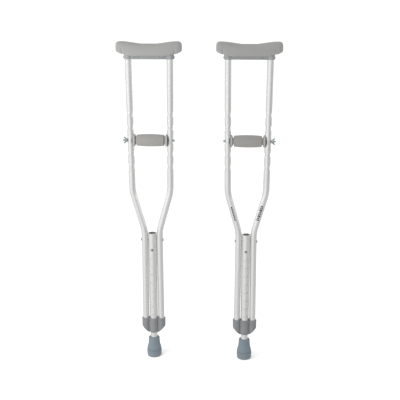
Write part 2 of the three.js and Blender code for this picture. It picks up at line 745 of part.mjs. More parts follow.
function makeCrutch(name, side) {
  const crutch = new THREE.Group();
  crutch.position.x = (side * PAIR_SPACING) / 2;

  function add(part, solid, look, position = [0, 0, 0], turn = 0) {
    const mesh = new THREE.Mesh(geometryOf(solid), new THREE.MeshStandardMaterial(look));
    mesh.name = `${name}_${part}`;
    mesh.position.set(...position);
    mesh.rotation.z = turn;
    crutch.add(mesh);
  }

  add('underarm_pad', pad(), PAD_FOAM);
  add('saddle', saddle(), GREY_PLASTIC);
  add('centre_tube', centreTube(), ALUMINIUM);
  add('cross_rivet', crossRivet(), ALUMINIUM, [0, 0, crossRivetHeight]);
  add('lower_bracket', lowerBracket(), GREY_PLASTIC);
  add('guide_bush', guideBush(), PALE_PLASTIC, [0, 0, bushBottom]);
  add('grip_core', gripCore(), PALE_PLASTIC, [0, 0, GRIP_HEIGHT]);
  add('grip_sleeve', gripSleeve(), GRIP_FOAM, [0, 0, GRIP_HEIGHT]);

  for (const end of [-1, 1]) {
    const place = end === side ? 'outer' : 'inner';
    const facing = end > 0 ? 0 : Math.PI;
    add(`${place}_upright`, upright(end), ALUMINIUM);
    add(`${place}_grip_cap`, gripCap(end), GREY_PLASTIC);
    add(`${place}_saddle_screw`, saddleScrew(), STEEL, [0, 0, ARMREST_HEIGHT - SCREW_DROP], facing);
    const rivetHeight = bracketTop - POP_RIVET_DROP;
    const rivetPlace = [end * lowSpreadAt(rivetHeight), 0, rivetHeight];
    add(`${place}_bracket_rivet`, popRivet(), ALUMINIUM, rivetPlace, Math.PI);
  }

  const boltTurn = side > 0 ? 0 : Math.PI;
  add('grip_bolt', gripBolt(), STEEL, [0, 0, GRIP_HEIGHT], boltTurn);
  add('bolt_washer', boltWasher(), STEEL, [side * boltFace(), 0, GRIP_HEIGHT], boltTurn);
  const nutFace = boltFace() + WASHER_THICKNESS + GAP;
  add('wing_nut', wingNut(), STEEL, [side * nutFace, 0, GRIP_HEIGHT], boltTurn);

  add('leg_tube', legTube(), ALUMINIUM);
  add('spring_clip', springClip(), SPRING_STEEL, [0, 0, buttonHeight]);
  add('snap_button', button(), STEEL, [0, 0, buttonHeight]);
  add('rubber_tip', rubberTip(), TIP_RUBBER);
  add('tip_washer', tipWasher(), STEEL, [0, 0, TIP_FLOOR + GAP]);
  return crutch;
}

const crutches = new THREE.Group();
crutches.add(makeCrutch('left', -1));
crutches.add(makeCrutch('right', 1));

export default crutches;
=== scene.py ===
"""Looks of a pair of aluminium underarm crutches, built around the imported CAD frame.

Metres, +Z up, the crutches' fronts towards -Y. Each shape is made once for a crutch that
stands at X = 0, and then copied to the left and the right crutch.
"""

import math

import bmesh
import bpy
import numpy as np
from mathutils import Matrix, Vector


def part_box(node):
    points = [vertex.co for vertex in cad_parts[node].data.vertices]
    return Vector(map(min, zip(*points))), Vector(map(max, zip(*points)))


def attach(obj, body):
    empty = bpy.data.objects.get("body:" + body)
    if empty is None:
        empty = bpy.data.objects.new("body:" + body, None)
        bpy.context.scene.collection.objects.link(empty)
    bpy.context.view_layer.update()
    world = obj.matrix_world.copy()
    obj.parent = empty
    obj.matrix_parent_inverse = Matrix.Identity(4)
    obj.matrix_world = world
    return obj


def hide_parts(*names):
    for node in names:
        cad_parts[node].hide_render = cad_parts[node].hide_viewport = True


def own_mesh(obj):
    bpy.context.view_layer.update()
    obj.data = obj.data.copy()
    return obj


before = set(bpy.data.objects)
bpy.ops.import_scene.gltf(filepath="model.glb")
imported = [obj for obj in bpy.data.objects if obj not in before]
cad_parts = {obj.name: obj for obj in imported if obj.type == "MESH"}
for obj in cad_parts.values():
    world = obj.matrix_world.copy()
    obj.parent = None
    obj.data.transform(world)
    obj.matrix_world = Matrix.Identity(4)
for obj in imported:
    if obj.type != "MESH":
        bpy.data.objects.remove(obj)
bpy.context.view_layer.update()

MM = 0.001
SIDES = {"left": -1, "right": 1}

# Sizes that the frame's boxes don't give
UPRIGHT_RADIUS = 11.1 * MM
UPRIGHT_WALL = 1.3 * MM
ARMREST_SPREAD = 68.5 * MM  # half the spread of the uprights' centre lines, from the top down
UPPER_BEND_SPREAD = 65 * MM
HUG_SPREAD = 25.7 * MM
FOOT_SPREAD = 27.5 * MM
UPPER_BEND_HEIGHT = 615 * MM
LOWER_BEND_HEIGHT = 475 * MM
BEND_RADIUS = 150 * MM
GRIP_PITCH = 44.5 * MM
GRIP_STATIONS = (-2, -1, 0, 1, 2)
WAIST_REACH = 13 * MM  # half the length of a pressed waist
WAIST_DEPTH = 2.1 * MM
TUBE_WALL = 1.2 * MM
LEG_WALL = 1.4 * MM
LEG_HOLE_PITCH = 30.5 * MM
LEG_HOLE_COUNT = 9
LEG_HOLE_RADIUS = 4.3 * MM
RIVET_HOLE_RADIUS = 2.6 * MM
BOLT_RADIUS = 3.1 * MM
THREAD_PITCH = 1.27 * MM
HOLE_GAP = 0.5 * MM
GAP = 0.3 * MM

# Facets
TUBE_SIDES = 72
SMALL_SIDES = 40
BEND_STEPS = 14
WAIST_STEPS = 16


def crutch_box(part, side="left"):
    """The box of one crutch's part, measured from that crutch's own centre."""
    low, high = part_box(f"{side}_{part}")
    shift = Vector((centre_of[side], 0, 0))
    return low - shift, high - shift


centre_of = {side: sum(corner.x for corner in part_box(f"{side}_centre_tube")) / 2 for side in SIDES}

tube_low, tube_high = crutch_box("centre_tube")
leg_low, leg_high = crutch_box("leg_tube")
upright_low, upright_high = crutch_box("outer_upright")
sleeve_low, sleeve_high = crutch_box("grip_sleeve")
pad_high = crutch_box("underarm_pad")[1]
saddle_low, saddle_high = crutch_box("saddle")
bracket_low, bracket_high = crutch_box("lower_bracket")
tip_high = crutch_box("rubber_tip")[1]
rivet_low, rivet_high = crutch_box("cross_rivet")
button_low, button_high = crutch_box("snap_button")
clip_low, clip_high = crutch_box("spring_clip")
screw_low, screw_high = crutch_box("outer_saddle_screw")

TUBE_RADIUS = tube_high.y
LEG_RADIUS = leg_high.y
LEG_BORE = LEG_RADIUS - LEG_WALL
GRIP_HEIGHT = (sleeve_low.z + sleeve_high.z) / 2
BUTTON_HEIGHT = (button_low.z + button_high.z) / 2
RIVET_HEIGHT = (rivet_low.z + rivet_high.z) / 2
SCREW_HEIGHT = (screw_low.z + screw_high.z) / 2
SCREW_HEAD = 1.8 * MM
SCREW_FACE = -screw_low.x - SCREW_HEAD  # outer side of the saddle's socket, under the head
SPINE_HEIGHT = 13 * MM
SADDLE_TOP = saddle_high.z - SPINE_HEIGHT  # the rail that the pad sits on
SOCKET_FLOOR = upright_low.z - GAP


# ---- mesh tools

def with_values(thing, **values):
    for name, value in values.items():
        setattr(thing, name, value)
    return thing


def in_mm(points):
    """Points or profile corners that are given in millimetres."""
    return [tuple(value * MM for value in point) for point in points]


def add_object(name, data):
    thing = bpy.data.objects.new(name, data)
    bpy.context.scene.collection.objects.link(thing)
    return thing


def mesh_object(name, points, faces):
    """Closed mesh with its faces turned outwards."""
    mesh = bpy.data.meshes.new(name)
    mesh.from_pydata([tuple(map(float, p)) for p in points], [], faces)
    turner = bmesh.new()
    turner.from_mesh(mesh)
    bmesh.ops.recalc_face_normals(turner, faces=turner.faces)
    turner.to_mesh(mesh)
    turner.free()
    return add_object(name, mesh)


def skin(name, rings, loop=False):
    """Surface over rings of points. It closes on itself, or ends in a face at each end."""
    sides = len(rings[0])
    faces = []
    spans = len(rings) if loop else len(rings) - 1
    for ring in range(spans):
        here = ring * sides
        there = (ring + 1) % len(rings) * sides
        for side in range(sides):
            after = (side + 1) % sides
            faces.append((here + side, here + after, there + after, there + side))
    if not loop:
        faces.append(tuple(range(sides)))
        faces.append(tuple((len(rings) - 1) * sides + side for side in range(sides)))
    return mesh_object(name, np.concatenate(rings), faces)


def around(sides):
    return 2 * math.pi * np.arange(sides) / sides


def circle(radius, height, sides=TUBE_SIDES):
    turn = around(sides)
    return np.stack([radius * np.cos(turn), radius * np.sin(turn), np.full(sides, height)], 1)


def dome(radius, base, height, steps=8):
    """Profile points from a dome's rim to its top on the axis."""
    turns = [math.pi / 2 * step / steps for step in range(steps)]
    return [(radius * math.cos(t), base + height * math.sin(t)) for t in turns] + [(0.0, base + height)]


def rounded(profile, steps=5):
    """[radius, height] points, each with an optional fillet radius, with the fillets as arcs."""
    points = [np.array(p[:2], float) for p in profile]
    smooth = []
    for index, corner in enumerate(profile):
        here = points[index]
        if len(corner) < 3 or index in (0, len(profile) - 1):
            smooth.append(here)
            continue
        before = points[index - 1] - here
        after = points[index + 1] - here
        room = min(np.linalg.norm(before), np.linalg.norm(after)) / 2
        before /= np.linalg.norm(before)
        after /= np.linalg.norm(after)
        half_angle = math.acos(max(-1.0, min(1.0, float(before @ after)))) / 2
        reach = min(corner[2] / math.tan(half_angle), room)
        start, end = here + before * reach, here + after * reach
        for step in range(steps + 1):
            share = step / steps
            smooth.append((1 - share) ** 2 * start + 2 * share * (1 - share) * here + share**2 * end)
    return smooth


def lathe(name, profile, sides=TUBE_SIDES):
    """Solid of revolution about Z. The profile ends on the axis, or closes on itself."""
    points, rows, faces = [], [], []
    for radius, height in profile:
        if radius < 1e-9:
            rows.append([len(points)])
            points.append((0, 0, height))
        else:
            rows.append(list(range(len(points), len(points) + sides)))
            points.extend(circle(radius, height, sides))
    pairs = list(zip(rows, rows[1:]))
    if len(rows[0]) > 1:
        pairs.append((rows[-1], rows[0]))
    for lower, upper in pairs:
        for side in range(sides):
            after = (side + 1) % sides
            corners = [lower[side % len(lower)], lower[after % len(lower)]]
            corners += [upper[after % len(upper)], upper[side % len(upper)]]
            face = tuple(dict.fromkeys(corners))
            if len(face) > 2:
                faces.append(face)
    return mesh_object(name, points, faces)


def turned(thing, degrees, axis):
    thing.data.transform(Matrix.Rotation(math.radians(degrees), 4, axis))
    return thing


def along_x(thing):
    """Turned so that its +Z points along +X."""
    return turned(thing, 90, "Y")


def moved(thing, x=0.0, y=0.0, z=0.0):
    thing.data.transform(Matrix.Translation((x, y, z)))
    return thing


def rod(start, end, radius, sides=SMALL_SIDES):
    """Plain round bar, used as a cutter and as a building block."""
    start, end = Vector(start), Vector(end)
    length = (end - start).length
    bar = lathe("rod", [(0, 0), (radius, 0), (radius, length), (0, length)], sides)
    turn = Vector((0, 0, 1)).rotation_difference(end - start).to_matrix().to_4x4()
    bar.data.transform(Matrix.Translation(start) @ turn)
    return bar


def post(x, low, high, radius):
    """Upright round bar at X."""
    return rod((x, 0, low), (x, 0, high), radius, TUBE_SIDES)


def block(reach, depth, bottom, top, x=0.0):
    """Block as wide on both sides of x, and as deep to the front as to the back."""
    corners = [(a, b, c) for a in (x - reach, x + reach) for b in (-depth, depth) for c in (bottom, top)]
    faces = [(0, 1, 3, 2), (4, 6, 7, 5), (0, 4, 5, 1), (2, 3, 7, 6), (0, 2, 6, 4), (1, 5, 7, 3)]
    return mesh_object("block", corners, faces)


def plate(outline, half_depth):
    """Plate with an outline in the XZ plane."""
    count = len(outline)
    points = [(x, y, z) for y in (-half_depth, half_depth) for x, z in outline]
    faces = [tuple(range(count)), tuple(range(count, 2 * count))]
    for corner in range(count):
        after = (corner + 1) % count
        faces.append((corner, after, count + after, count + corner))
    return mesh_object("plate", points, faces)


def drop(thing):
    mesh = thing.data
    bpy.data.objects.remove(thing)
    bpy.data.meshes.remove(mesh)


def settled(thing):
    """The object with its modifiers worked into its mesh."""
    shaped = thing.evaluated_get(bpy.context.evaluated_depsgraph_get())
    mesh = bpy.data.meshes.new_from_object(shaped)
    thing.modifiers.clear()
    old = thing.data
    thing.data = mesh
    bpy.data.meshes.remove(old)
    return thing


def modify(thing, kind, **values):
    return with_values(thing.modifiers.new(kind.lower(), kind), **values)


def boolean(thing, others, operation):
    for other in others:
        modify(thing, "BOOLEAN", operation=operation, solver="MANIFOLD", object=other)
    settled(thing)
    for other in others:
        drop(other)
    return thing


def cut(thing, cutters):
    return boolean(thing, cutters, "DIFFERENCE")


def joined(thing, others):
    return boolean(thing, others, "UNION")


def moulded(thing, voxel=0.8 * MM, rounds=5, keep=0.45):
    """Voxel remesh and smoothing, which rounds every edge as a moulded piece's are."""
    modify(thing, "REMESH", mode="VOXEL", voxel_size=voxel)
    modify(thing, "SMOOTH", factor=0.5, iterations=rounds)
    modify(thing, "DECIMATE", ratio=keep)
    return settled(thing)


def bevelled(thing, width, angle):
    limit = math.radians(angle)
    modify(thing, "BEVEL", width=width, segments=2, limit_method="ANGLE", angle_limit=limit)
    return settled(thing)


def shaded(thing, angle=38):
    """Smooth shading, with sharp edges kept where faces meet at more than the angle."""
    mesh = thing.data
    mesh.polygons.foreach_set("use_smooth", [True] * len(mesh.polygons))
    mesh.set_sharp_from_angle(angle=math.radians(angle))
    mesh.update()
    return thing


def on_grip(thing, angle=38):
    """A shape made upwards from the origin, shaded and laid along the grip's axis."""
    return moved(shaded(along_x(thing), angle), z=GRIP_HEIGHT)


# ---- materials

class Nodes:
    """Short names for the shader nodes that the materials and the world share."""

    def __init__(self, tree, coordinates):
        self.tree = tree
        self.place = tree.nodes.new("ShaderNodeTexCoord").outputs[coordinates]

    def give(self, socket, value):
        """Feeds a socket with a node's output, or sets it to a constant."""
        if hasattr(value, "is_linked"):
            self.tree.links.new(value, socket)
        else:
            socket.default_value = value

    def add(self, kind, inputs):
        node = self.tree.nodes.new(f"ShaderNode{kind}")
        for name, value in inputs.items():
            self.give(node.inputs[name], value)
        return node

    def noise(self, size, detail=3.0, roughness=0.55, stretch=(1, 1, 1), seed=0.0):
        """Noise with features of about this size in metres."""
        shift = (seed, seed / 2, seed / 3)
        mapping = self.add("Mapping", {"Vector": self.place, "Scale": stretch, "Location": shift})
        inputs = {"Scale": 1 / size, "Detail": detail, "Roughness": roughness}
        return self.add("TexNoise", {**inputs, "Vector": mapping.outputs["Vector"]}).outputs["Fac"]

    def ranged(self, value, low, high, start=0.25, end=0.75):
        """Maps start to end onto low to high, and holds what lies beyond."""
        inputs = {"From Min": start, "From Max": end, "To Min": low, "To Max": high}
        return self.add("MapRange", {**inputs, "Value": value}).outputs["Result"]

    def mixed(self, share, first, second):
        """Colour between two colours, either of which may be an output."""
        node = self.add("Mix", {"Factor": share})
        node.data_type = "RGBA"
        for socket, colour in ((node.inputs[6], first), (node.inputs[7], second)):
            self.give(socket, colour if hasattr(colour, "is_linked") else (*colour, 1))
        return node.outputs[2]

    def bump(self, height, distance, strength, below=None):
        inputs = {"Height": height, "Distance": distance, "Strength": strength}
        if below is not None:
            inputs["Normal"] = below
        return self.add("Bump", inputs).outputs["Normal"]

    def maths(self, operation, first, second):
        node = self.add("Math", {0: first, 1: second})
        node.operation = operation
        return node.outputs[0]

    def axis(self, index):
        return self.add("SeparateXYZ", {"Vector": self.place}).outputs[index]


class Surface(Nodes):
    """The nodes of one material."""

    def __init__(self, name):
        self.material = bpy.data.materials.new(name)
        self.material.use_nodes = True
        super().__init__(self.material.node_tree, "Object")

    def feed(self, **values):
        """Sets the shader's inputs, each to an output or a constant, and returns the material."""
        inputs = self.tree.nodes["Principled BSDF"].inputs
        for name, value in values.items():
            self.give(inputs[name.replace("_", " ").title().replace("Ior", "IOR")], value)
        return self.material


def lighter(colour, factor):
    return tuple(min(1.0, part * factor) for part in colour)


def tube_metal(name, colour, roughness):
    """Satin anodised tube: drawn lines along its length, faint clouding, a few fine scratches."""
    nodes = Surface(name)
    drawn = nodes.noise(0.0007, 2.0, stretch=(1, 1, 0.012))
    clouds = nodes.noise(0.03, 3.0, seed=4.0)
    scratches = nodes.noise(0.0016, 5.0, 0.7, stretch=(1, 1, 0.09), seed=9.0)
    fine = nodes.mixed(nodes.ranged(drawn, 0, 1), lighter(colour, 0.975), lighter(colour, 1.02))
    lines = nodes.bump(drawn, 0.00001, 0.05)
    return nodes.feed(
        metallic=0.85,
        base_color=nodes.mixed(nodes.ranged(clouds, 0, 0.3), fine, lighter(colour, 0.97)),
        roughness=nodes.ranged(clouds, roughness - 0.015, roughness + 0.02),
        normal=nodes.bump(scratches, 0.00001, 0.06, lines))


def small_metal(name, colour, roughness, stain):
    """Plated or cast small part, with stained patches and a fine uneven skin."""
    nodes = Surface(name)
    patches = nodes.noise(0.004, 4.0, 0.6)
    grain = nodes.noise(0.0005, 2.0, seed=3.0)
    return nodes.feed(
        metallic=1.0,
        base_color=nodes.mixed(nodes.ranged(patches, 0, 0.35, 0.4, 0.7), colour, stain),
        roughness=nodes.ranged(patches, roughness - 0.07, roughness + 0.12),
        normal=nodes.bump(grain, 0.00004, 0.5))


def foam(name, colour, roughness, pore, depth):
    """Moulded foam rubber: a skin of tiny pores, soft clouding and lighter scuffs."""
    nodes = Surface(name)
    pores = nodes.add("TexVoronoi", {"Vector": nodes.place, "Scale": 1 / pore}).outputs["Distance"]
    clouds = nodes.noise(0.02, 3.0)
    scuffs = nodes.noise(0.006, 6.0, 0.7, stretch=(0.35, 1, 1), seed=6.0)
    specks = nodes.ranged(pores, 0, 1, 0.05, 0.6)
    skin_tone = nodes.mixed(specks, lighter(colour, 0.90), lighter(colour, 1.03))
    cloudy = nodes.mixed(nodes.ranged(clouds, 0, 0.5), skin_tone, lighter(colour, 0.93))
    soft = nodes.bump(clouds, 0.0006, 0.5)
    return nodes.feed(
        sheen_weight=0.12, sheen_roughness=0.6, specular_ior_level=0.35,
        base_color=nodes.mixed(nodes.ranged(scuffs, 0, 0.25, 0.55, 0.75), cloudy, lighter(colour, 1.18)),
        roughness=nodes.ranged(scuffs, roughness + 0.06, roughness - 0.08),
        normal=nodes.bump(pores, depth, 0.6, soft))


def plastic(name, colour, roughness):
    """Injection-moulded plastic: spark-eroded grain, faint flow marks, rubbed patches."""
    nodes = Surface(name)
    grain = nodes.noise(0.0009, 2.0)
    flow = nodes.noise(0.025, 3.0, stretch=(1, 1, 0.4), seed=2.0)
    rubbed = nodes.noise(0.007, 5.0, 0.65, seed=8.0)
    tone = nodes.mixed(nodes.ranged(flow, 0, 1), lighter(colour, 0.93), lighter(colour, 1.05))
    return nodes.feed(
        specular_ior_level=0.45,
        base_color=nodes.mixed(nodes.ranged(rubbed, 0, 0.3, 0.5, 0.75), tone, lighter(colour, 1.2)),
        roughness=nodes.ranged(rubbed, roughness + 0.07, roughness - 0.12),
        normal=nodes.bump(grain, 0.00006, 0.5))


def rubber(name, colour, dust, dust_height):
    """Moulded rubber, dusty towards the floor."""
    nodes = Surface(name)
    bloom = nodes.noise(0.008, 5.0, 0.65)
    grain = nodes.noise(0.0007, 3.0, seed=5.0)
    tone = nodes.mixed(nodes.ranged(bloom, 0, 1), lighter(colour, 0.92), lighter(colour, 1.12))
    near_floor = nodes.ranged(nodes.axis(2), 0.55, 0.0, 0.0, dust_height)
    patchy = nodes.maths("MULTIPLY", near_floor, nodes.ranged(bloom, 0.2, 1.0))
    return nodes.feed(
        specular_ior_level=0.4,
        base_color=nodes.mixed(patchy, tone, dust),
        roughness=nodes.ranged(bloom, 0.62, 0.8),
        normal=nodes.bump(grain, 0.0001, 0.5))


TUBE = tube_metal("satin_aluminium", (0.80, 0.80, 0.795), 0.26)
RIVET = small_metal("rivet_aluminium", (0.42, 0.43, 0.44), 0.38, (0.25, 0.25, 0.26))
ZINC = small_metal("zinc_plated_steel", (0.46, 0.50, 0.50), 0.3, (0.22, 0.25, 0.25))
SPRING = small_metal("spring_steel", (0.20, 0.20, 0.21), 0.35, (0.10, 0.10, 0.11))
# The snap button's steel is made dark: painted shade, for the dark spot that the button shows down in its
# hole
SHADED_BUTTON_STEEL = small_metal("button_steel_painted_shade", (0.30, 0.30, 0.30), 0.33, (0.15, 0.15, 0.15))
PAD = foam("pad_foam_rubber", (0.236, 0.236, 0.230), 0.72, 0.0011, 0.0001)
GRIP = foam("grip_foam_rubber", (0.216, 0.209, 0.200), 0.74, 0.0009, 0.0001)
GREY = plastic("grey_moulded_plastic", (0.232, 0.237, 0.243), 0.45)
DARK = plastic("bracket_moulded_plastic", (0.160, 0.167, 0.172), 0.45)
CAP = plastic("cap_moulded_plastic", (0.27, 0.27, 0.268), 0.45)
PALE = plastic("pale_moulded_plastic", (0.62, 0.61, 0.57), 0.4)
RUBBER = rubber("slate_rubber", (0.134, 0.165, 0.187), (0.24, 0.26, 0.26), 0.02)
INK = plastic("label_ink", (0.05, 0.05, 0.055), 0.5)


# ---- shapes

def bend(before, corner, after, radius, steps):
    """Places along an arc that rounds a corner in the XZ plane: (x, z, heading)."""
    before, corner, after = (np.array(p, float) for p in (before, corner, after))
    first = math.atan2(*(corner - before)[::-1])
    turn = math.atan2(*(after - corner)[::-1]) - first
    side = math.copysign(1, turn)
    start = corner - radius * math.tan(abs(turn) / 2) * np.array([math.cos(first), math.sin(first)])
    centre = start + side * radius * np.array([-math.sin(first), math.cos(first)])
    places = []
    for step in range(steps + 1):
        angle = first + turn * step / steps
        point = centre - side * radius * np.array([-math.sin(angle), math.cos(angle)])
        places.append((point[0], point[1], angle))
    return places


def spread_at(height):
    """Half the spread of the uprights' centre lines above the upper bend."""
    share = (height - UPPER_BEND_HEIGHT) / (upright_high.z - UPPER_BEND_HEIGHT)
    return UPPER_BEND_SPREAD + share * (ARMREST_SPREAD - UPPER_BEND_SPREAD)


def upright_line():
    """The +X upright's centre line from top to bottom: (x, z, heading, waist)."""
    top = (ARMREST_SPREAD, upright_high.z)
    upper = (UPPER_BEND_SPREAD, UPPER_BEND_HEIGHT)
    lower = (HUG_SPREAD, LOWER_BEND_HEIGHT)
    foot = (FOOT_SPREAD, upright_low.z)
    upper_bend = bend(top, upper, lower, BEND_RADIUS, BEND_STEPS)
    lower_bend = bend(upper, lower, foot, BEND_RADIUS, BEND_STEPS)
    heading = upper_bend[0][2]
    line = [(*top, heading, 0.0)]
    for station in sorted(GRIP_STATIONS, reverse=True):
        for step in range(WAIST_STEPS + 1):
            along = 1 - 2 * step / WAIST_STEPS
            height = GRIP_HEIGHT + station * GRIP_PITCH + along * WAIST_REACH
            waist = WAIST_DEPTH * math.cos(along * math.pi / 2) ** 2
            line.append((spread_at(height), height, heading, waist))
    line += [(*place, 0.0) for place in upper_bend]
    for height in (RIVET_HEIGHT + 6 * MM, RIVET_HEIGHT - 6 * MM):
        if height < lower_bend[-1][1]:
            lower_bend.append((HUG_SPREAD, height, lower_bend[-1][2]))
    line += [(*place, 0.0) for place in lower_bend]
    line.append((*foot, lower_bend[-1][2], 0.0))
    return line


def low_spread_at(height):
    """Half the spread below the lower bend."""
    share = (LOWER_BEND_HEIGHT - height) / (LOWER_BEND_HEIGHT - SOCKET_FLOOR)
    return HUG_SPREAD + share * (FOOT_SPREAD - HUG_SPREAD)


def upright_ring(place, radius):
    """A section of the upright. A waist pinches it across and widens it in depth."""
    x, z, heading, waist = place
    turn = around(TUBE_SIDES)
    across = (radius - waist) * np.cos(turn)
    depth = (radius + waist / 4) * np.sin(turn)
    return np.stack([x - math.sin(heading) * across, depth, z + math.cos(heading) * across], 1)


def straightened(line):
    """The same line with its low places set on the slope between the bend and the foot."""
    return [(low_spread_at(z) if z < RIVET_HEIGHT + 7 * MM else x, z, a, w) for x, z, a, w in line]


def make_upright():
    """Bent tube with pressed waists, a bolt hole through each, and open ends."""
    line = straightened(upright_line())
    outside = [upright_ring(place, UPRIGHT_RADIUS) for place in line]
    inside = [upright_ring(place, UPRIGHT_RADIUS - UPRIGHT_WALL) for place in reversed(line)]
    tube = skin("upright", outside + inside, loop=True)
    cutters = []
    reach = 2 * UPRIGHT_RADIUS
    for station in GRIP_STATIONS:
        height = GRIP_HEIGHT + station * GRIP_PITCH
        x = spread_at(height)
        cutters.append(rod((x - reach, 0, height), (x + reach, 0, height), BOLT_RADIUS + HOLE_GAP))
    cutters.append(rod((0, 0, RIVET_HEIGHT), (HUG_SPREAD + reach, 0, RIVET_HEIGHT), RIVET_HOLE_RADIUS))
    return shaded(cut(tube, cutters), 30)


def open_tube(name, radius, bore, bottom, top, hole_heights):
    """Straight tube with eased rims, and edge rings above and below each hole in its front."""
    ease = 0.3 * MM
    heights = [bottom + ease, top - ease]
    clear = 1.4 * LEG_HOLE_RADIUS
    for height in hole_heights:
        heights += [height - clear, height + clear]
    outside = [circle(radius - ease, bottom)]
    outside += [circle(radius, height) for height in sorted(heights)]
    outside.append(circle(radius - ease, top))
    inside = [circle(bore, height) for height in (top, bottom)]
    tube = skin(name, outside + inside, loop=True)
    cutters = [rod((0, 0, h), (0, -2 * radius, h), LEG_HOLE_RADIUS) for h in hole_heights]
    return tube, cutters


def make_centre_tube():
    heights = [BUTTON_HEIGHT - index * LEG_HOLE_PITCH for index in range(LEG_HOLE_COUNT)]
    bore = TUBE_RADIUS - TUBE_WALL
    tube, cutters = open_tube("centre_tube", TUBE_RADIUS, bore, tube_low.z, tube_high.z, heights)
    reach = 2 * TUBE_RADIUS
    cutters.append(rod((-reach, 0, RIVET_HEIGHT), (reach, 0, RIVET_HEIGHT), RIVET_HOLE_RADIUS))
    return shaded(cut(tube, cutters), 30)


def make_leg_tube():
    tube, cutters = open_tube("leg", LEG_RADIUS, LEG_BORE, leg_low.z, leg_high.z, [BUTTON_HEIGHT])
    return shaded(cut(tube, cutters), 30)


def make_cross_rivet():
    """Shank through all three tubes with a domed head on each side."""
    head, shank, crown = rivet_high.z - RIVET_HEIGHT, 2.3 * MM, 1.9 * MM
    face = rivet_high.x - crown - 0.5 * MM
    right = [(shank, face), (head, face)] + dome(head, face + 0.5 * MM, crown)
    profile = [(r, -h) for r, h in reversed(right)] + right
    return moved(shaded(along_x(lathe("cross_rivet", profile, SMALL_SIDES))), z=RIVET_HEIGHT)


def make_saddle():
    """Moulded bar under the pad. It has a socket and three gussets at each end, a rail along its
    top, a bead along its foot and a spine that goes up into the pad."""
    bottom, half_width, recess = saddle_low.z, 12 * MM, 1.6 * MM
    socket_radius = UPRIGHT_RADIUS + GAP + 2 * MM
    web = block(ARMREST_SPREAD, half_width - recess, bottom + MM, SADDLE_TOP)
    parts = [
        block(ARMREST_SPREAD, half_width, SADDLE_TOP - 3 * MM, SADDLE_TOP),
        block(ARMREST_SPREAD, half_width, bottom, bottom + 3 * MM),
    ]
    start, stop = SCREW_FACE - 6 * MM, SCREW_FACE + 4 * MM
    cutters = []
    for end in (-1, 1):
        x = end * ARMREST_SPREAD
        parts.append(post(x, bottom, SADDLE_TOP, socket_radius))
        for gusset in range(3):
            inner = end * (ARMREST_SPREAD - socket_radius - (5 + 8 * gusset) * MM)
            parts.append(block(0.9 * MM, half_width, bottom + MM, SADDLE_TOP - 2 * MM, inner))
        cutters.append(post(x, bottom - MM, upright_high.z + GAP, UPRIGHT_RADIUS + GAP))
        cutters.append(rod((end * start, 0, SCREW_HEIGHT), (end * stop, 0, SCREW_HEIGHT), 2.4 * MM))
    spine = block(75 * MM, 7.5 * MM, SADDLE_TOP - 4 * MM, saddle_high.z)
    return shaded(moulded(cut(joined(web, parts + [spine]), cutters)), 60)


def make_saddle_screw():
    """Pan-head screw with a cross recess, its head towards +X."""
    head, shank = 3.6 * MM, 1.9 * MM
    face = SCREW_FACE
    tip, top = face - 8 * MM, face + SCREW_HEAD
    profile = [(0, tip), (shank * 0.4, tip), (shank, tip + 2 * MM), (shank, face), (head, face, 0.2 * MM)]
    profile += [(head, face + 0.9 * MM, 0.9 * MM), (head * 0.55, top, 0.6 * MM), (0, top)]
    screw = lathe("saddle_screw", rounded(profile), SMALL_SIDES)
    slot = (2 * MM, 0.35 * MM, face + 0.7 * MM, face + 3 * MM)
    recess = [turned(block(*slot), degrees, "Z") for degrees in (45, 135)]
    return moved(shaded(along_x(cut(screw, recess))), z=SCREW_HEIGHT)


# Pad: how its outline runs along X
PAD_END = pad_high.x
PAD_END_ROUND = 10 * MM
PAD_OVERHANG = 8 * MM
PAD_MIDDLE_TOP = SADDLE_TOP + 35 * MM
PAD_SWELL = 2.2 * MM  # the most that the simulation may move a point
CLOTH_FRAMES = 20


def eased(value, start, end):
    share = np.clip((value - start) / (end - start), 0, 1)
    return share * share * (3 - 2 * share)


def pad_floor(x):
    """Height of the pad's underside, which hangs over the saddle and lifts in two steps."""
    reach = np.abs(x)
    lift = 8 * MM * eased(reach, 52 * MM, 92 * MM) + 7.5 * MM * eased(reach, 84 * MM, 112 * MM)
    return SADDLE_TOP - PAD_OVERHANG + lift


def pad_crest(x):
    """Height of the pad's top, a cradle that is lowest in the middle."""
    return PAD_MIDDLE_TOP + 7.3 * MM * eased(np.abs(x), 18 * MM, 88 * MM)


def superellipse(wave, power):
    return np.sign(wave) * np.abs(wave) ** power


def pad_section(x, inset):
    """Ring of the pad at X: a flat-bottomed rounded section. inset rounds off the two ends."""
    sides = 40
    turn = around(sides) + math.pi / sides
    power = np.where(np.sin(turn) > 0, 0.66, 0.42)
    floor = float(pad_floor(x)) + 0.25 * inset
    crest = float(pad_crest(x)) - inset
    y = superellipse(np.cos(turn), power) * (pad_high.y - 0.8 * inset)
    z = (floor + crest) / 2 + superellipse(np.sin(turn), power) * (crest - floor) / 2
    return np.stack([np.full(sides, x), y, z], 1)


def pad_rings(shrink):
    """Sections from end to end, closer together where the ends round off."""
    straight = np.linspace(-(PAD_END - PAD_END_ROUND), PAD_END - PAD_END_ROUND, 41)
    rings = [(x, 0.0) for x in straight]
    steps = 8
    for step in range(1, steps + 1):
        turn = math.pi / 2 * step / steps * 0.94
        x = PAD_END - PAD_END_ROUND * (1 - math.sin(turn)) - shrink
        inset = PAD_END_ROUND * (1 - math.cos(turn))
        rings.append((x, inset))
        rings.insert(0, (-x, inset))
    return [pad_section(x, inset + shrink) for x, inset in rings]


def points_of(thing):
    return np.array([vertex.co for vertex in thing.data.vertices])


